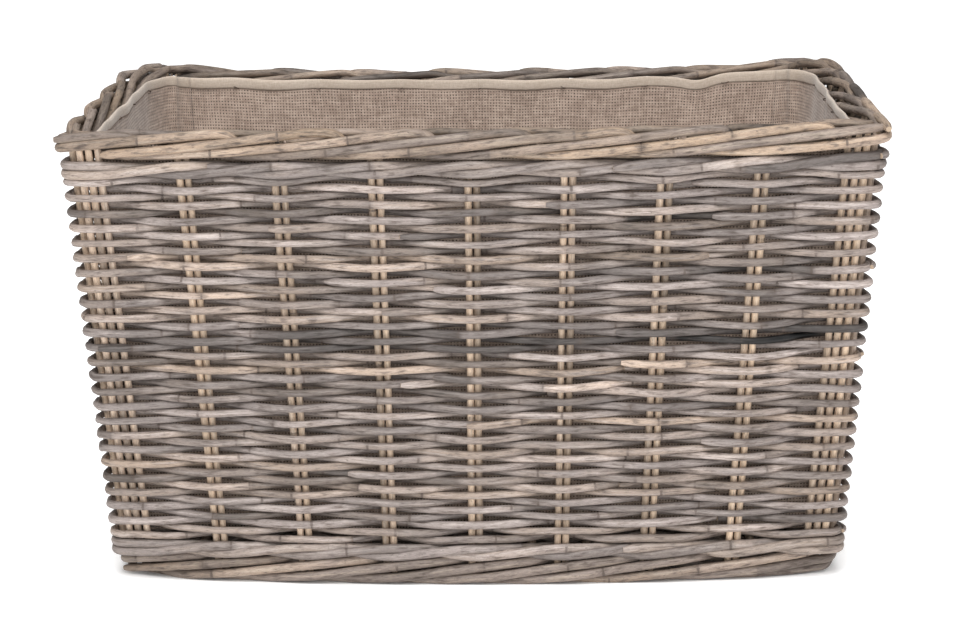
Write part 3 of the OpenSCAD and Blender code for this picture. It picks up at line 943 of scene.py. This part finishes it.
levels[..., 2] -= near_top ** 2 * droop
reach = int(SEAM_IN / CLOTH_STEP)
seams = [place for w in (0, 2) for place in (column_start[w] + reach, column_start[w + 1] - reach)]
panels = {"front": (seams[0], seams[1]), "right": (seams[1], seams[2]), "back": (seams[2], seams[3]),
          "left": (seams[3], seams[0] + total_columns)}


def chart_of(cols, up):
    """the cloth's own measure: how far round it, and how far up"""
    return np.stack(np.broadcast_arrays(run_of(cols), up[:, None]), axis=-1)


def cloth_piece(name, grid, chart, finish, thick):
    """a piece of cloth from a grid of points, with its own measure and its thickness"""
    rows, cols = grid.shape[:2]
    mesh = bpy.data.meshes.new(name)
    index = np.arange(rows * cols).reshape(rows, cols)
    faces = np.stack([index[:-1, :-1], index[:-1, 1:], index[1:, 1:], index[1:, :-1]], axis=-1).reshape(-1, 4)
    mesh.from_pydata(grid.reshape(-1, 3).tolist(), [], faces.tolist())
    layer = mesh.uv_layers.new(name="cloth")
    corner = np.empty(len(mesh.loops), np.int32)
    mesh.loops.foreach_get("vertex_index", corner)
    layer.data.foreach_set("uv", chart.reshape(-1, 2)[corner].astype(np.float32).ravel())
    mesh.materials.append(finish)
    mesh.polygons.foreach_set("use_smooth", [True] * len(mesh.polygons))
    piece = placed(name, mesh)
    wall = piece.modifiers.new("thickness", "SOLIDIFY")
    wall.thickness, wall.offset = thick, 0
    made_plain(piece)
    return reshape(piece)


for wall, (a, b) in panels.items():
    cols = np.arange(a, b + 1)
    grid = levels[:, cols % total_columns].copy()
    lap = np.zeros(len(cols))
    if wall in ("right", "left"):
        lap[:2], lap[-2:] = 0.5 * MM, 0.5 * MM
    grid -= cloth_out[:, cols % total_columns] * lap[None, :, None]
    piece = cloth_piece(f"lining_{wall}_cloth", grid, chart_of(cols, cloth_height), lining_finish, CLOTH)
    fixed(piece, "lining_cloth", f"lining_{wall}")

base_low, base_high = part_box("lining_base")
across_base, deep_base = np.linspace(-1, 1, 90), np.linspace(-1, 1, 60)[:, None]
base_y = (half_y(base_low[2]) + CLOTH_V + BOW_RIM * (1 - across_base ** 2)) * 0.995
base_hills = np.clip(soft_noise((60, 90), (6, 7), 0.8 * MM, 66), -0.6 * MM, 3 * MM)
base_grid = np.stack(np.broadcast_arrays(across_base * base_high[0], deep_base * base_y,
                                         (base_low[2] + base_high[2]) / 2 + base_hills), axis=-1)
lining_base = cloth_piece("lining_base_cloth", base_grid, base_grid[..., :2], lining_finish, CLOTH)
fixed(lining_base, "lining_cloth", "lining_base")

# ---------------------------------------------------------------------------
# Hem: the top edge of the lining turned over twice into a closer, paler band.
# It hangs in shallow curves from stitch to stitch.
# ---------------------------------------------------------------------------
HEM_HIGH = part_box("hem_back")[1][2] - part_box("hem_back")[0][2]
# the hem's dark colour is painted shade in its holes and between its threads, and the tone of its slubs
hem_finish = finish_of("hem cloth", HESSIAN, relief=0.25, depth=0.0003, shine=0.12, fuzz=0.3,
                       Thread=(0.44, 0.36, 0.29, 1), Light=(0.58, 0.50, 0.42, 1), Hole=(0.24, 0.18, 0.14, 1),
                       Openness=0.25, Slubs=0.2, Pitch=0.0012)
HEM_SECTION = ((0.4, 1.0), (0.9, 1.0), (1.6, 0.94), (1.9, 0.7), (1.8, 0.4), (1.6, 0.15), (1.2, 0.0), (0.6, 0.02))
hem_fat = (0.7 + 0.35 * hang) * (1 + round_noise(7, 0.25, 67))
hem_tall = 0.8 * HEM_HIGH * (1 + round_noise(14, 0.07, 68))
for wall, (a, b) in panels.items():
    cols = np.arange(a, b + 1)
    at = cols % total_columns
    rows = []
    for inward, up in HEM_SECTION + HEM_SECTION[:1]:
        p = levels[-1][at] - cloth_out[-1][at] * ((inward * hem_fat[at] + 0.5) * MM)[:, None]
        p[:, 2] += 0.8 * MM - hem_tall[at] * (1 - up)
        rows.append(p)
    chart = chart_of(cols, np.linspace(0, 2 * HEM_HIGH, len(rows)))
    piece = cloth_piece(f"hem_{wall}_band", np.stack(rows), chart, hem_finish, 0.5 * MM)
    fixed(piece, "hem_cloth", f"hem_{wall}")

# ---------------------------------------------------------------------------
# Ties: a stitch of dark twine at every stake pair, which sews the hem to the
# basket.
# ---------------------------------------------------------------------------
TWINE = 1.2 * MM
twine_finish = finish_of("tie twine", CANE_BARK, relief=0.6, Grey=(0.075, 0.055, 0.045, 1),
                         Buff=(0.14, 0.10, 0.07, 1), Pale=(0.20, 0.15, 0.11, 1), Streaks=0.5, Stains=0.3,
                         Bleach=0.2)
rng = np.random.default_rng(71)
next_tie = iter(tie_columns)
for w, wall in enumerate(WALLS):
    stitches = []
    for c in (next(next_tie) for k in range(1, SPANS[w])):
        mid, out = levels[-1][c], cloth_out[-1][c]
        side = np.array([-out[1], out[0], 0])
        for turn in range(rng.integers(1, 3)):
            t = np.linspace(-1, 1, 12)[:, None]
            low = -HEM_HIGH * rng.uniform(0.68, 0.82)
            reach = t * rng.uniform(1.5, 3.5) + rng.normal(0, 1.5)
            path = mid - out * (4.4 - 2.6 * t ** 4) * MM + side * reach * MM
            path[:, 2] += low + (t[:, 0] * rng.uniform(-1.2, 1.2)) * MM
            stitches.append(cane(path, TWINE, rng, 0.2, 0.5, ring=1.5 * MM))
    piece = bundle(f"hem_ties_{wall}", stitches, twine_finish, sides=8, seed=71 + w)
    fixed(piece, "tie_twine", f"ties_{wall}")

# ---------------------------------------------------------------------------
# Studio: a wide pale floor that glows white away from the basket, so that only
# the basket's own shade shows on it, under a soft sky and two big soft lights.
# ---------------------------------------------------------------------------
CLEAR_OF_BASKET = (0.33, 0.262)
floor_mesh = bpy.data.meshes.new("studio_floor")
floor_mesh.from_pydata([(-30, -30, 0), (30, -30, 0), (30, 60, 0), (-30, 60, 0)], [], [(0, 1, 2, 3)])
floor = placed("studio_floor", floor_mesh)
paper = bpy.data.materials.new("studio paper with painted glow")
paper.use_nodes = True
sheet = paper.node_tree.nodes["Principled BSDF"]
sheet.inputs["Base Color"].default_value = (0.96, 0.96, 0.96, 1)
sheet.inputs["Roughness"].default_value = 0.9
sheet.inputs["Emission Strength"].default_value = 1.0
add = adder(paper.node_tree)
where = add("ShaderNodeSeparateXYZ", ((0, add("ShaderNodeTexCoord", (), "Object")),)).node.outputs
past = []
for i, reach in enumerate(CLEAR_OF_BASKET):
    away = add("ShaderNodeMath", ((0, where[i]),), operation="ABSOLUTE")
    past.append(add("ShaderNodeMath", ((0, away), (1, reach)), operation="SUBTRACT"))
beyond = add("ShaderNodeMath", enumerate(past), operation="MAXIMUM")
names = ("Value", "From Min", "From Max", "To Min", "To Max")
# painted glow: the floor's emission rises from none near the basket to full a little way out, whitening the
# floor and the cast shade there
painted_glow = add("ShaderNodeMapRange", zip(names, (beyond, 0.0, 0.11, 0.0, 0.75)), "Result")
paper.node_tree.links.new(painted_glow, sheet.inputs["Emission Color"])
floor_mesh.materials.append(paper)

world = bpy.data.worlds.new("studio")
bpy.context.scene.world = world
world.use_nodes = True
sky = world.node_tree.nodes["Background"]
sky.inputs["Color"].default_value = (1, 1, 1, 1)
add = adder(world.node_tree)
seen = add("ShaderNodeLightPath", (), "Is Camera Ray")
bright = add("ShaderNodeMath", ((0, seen), (1, 0.6), (2, 0.4)), operation="MULTIPLY_ADD")
world.node_tree.links.new(bright, sky.inputs["Strength"])
for name, place, size, power in (("overhead", (-0.1, -1.4, 3.0), 2.6, 128),
                                 ("front", (0.5, -3.6, 1.4), 2.4, 46)):
    lamp = bpy.data.lights.new(name, "AREA")
    lamp.shape, lamp.size, lamp.energy = "SQUARE", size, power
    spot = placed(name, lamp)
    spot.location = place
    spot.rotation_mode = "QUATERNION"
    spot.rotation_quaternion = (Vector((0, 0, 0.22)) - Vector(place)).to_track_quat("-Z", "Y")
bpy.context.scene.view_settings.view_transform = "Standard"

# ---------------------------------------------------------------------------
# Camera: a long lens in front of the long wall, a little to the right, above
# the rim and looking down into the basket.
# ---------------------------------------------------------------------------
eye = bpy.data.cameras.new("camera")
eye.lens, eye.sensor_width = 87.5, 36
camera = placed("camera", eye)
camera.location = (0.058, -2.434, 0.766)
camera.rotation_mode = "QUATERNION"
turn, tip, roll = (math.radians(a) for a in (1.34, 90 - 12.63, -0.55))
camera.rotation_quaternion = (Quaternion((0, 0, 1), turn) @ Quaternion((1, 0, 0), tip)
                              @ Quaternion((0, 0, 1), roll))
eye.clip_start, eye.clip_end = 0.05, 200
bpy.context.scene.camera = camera
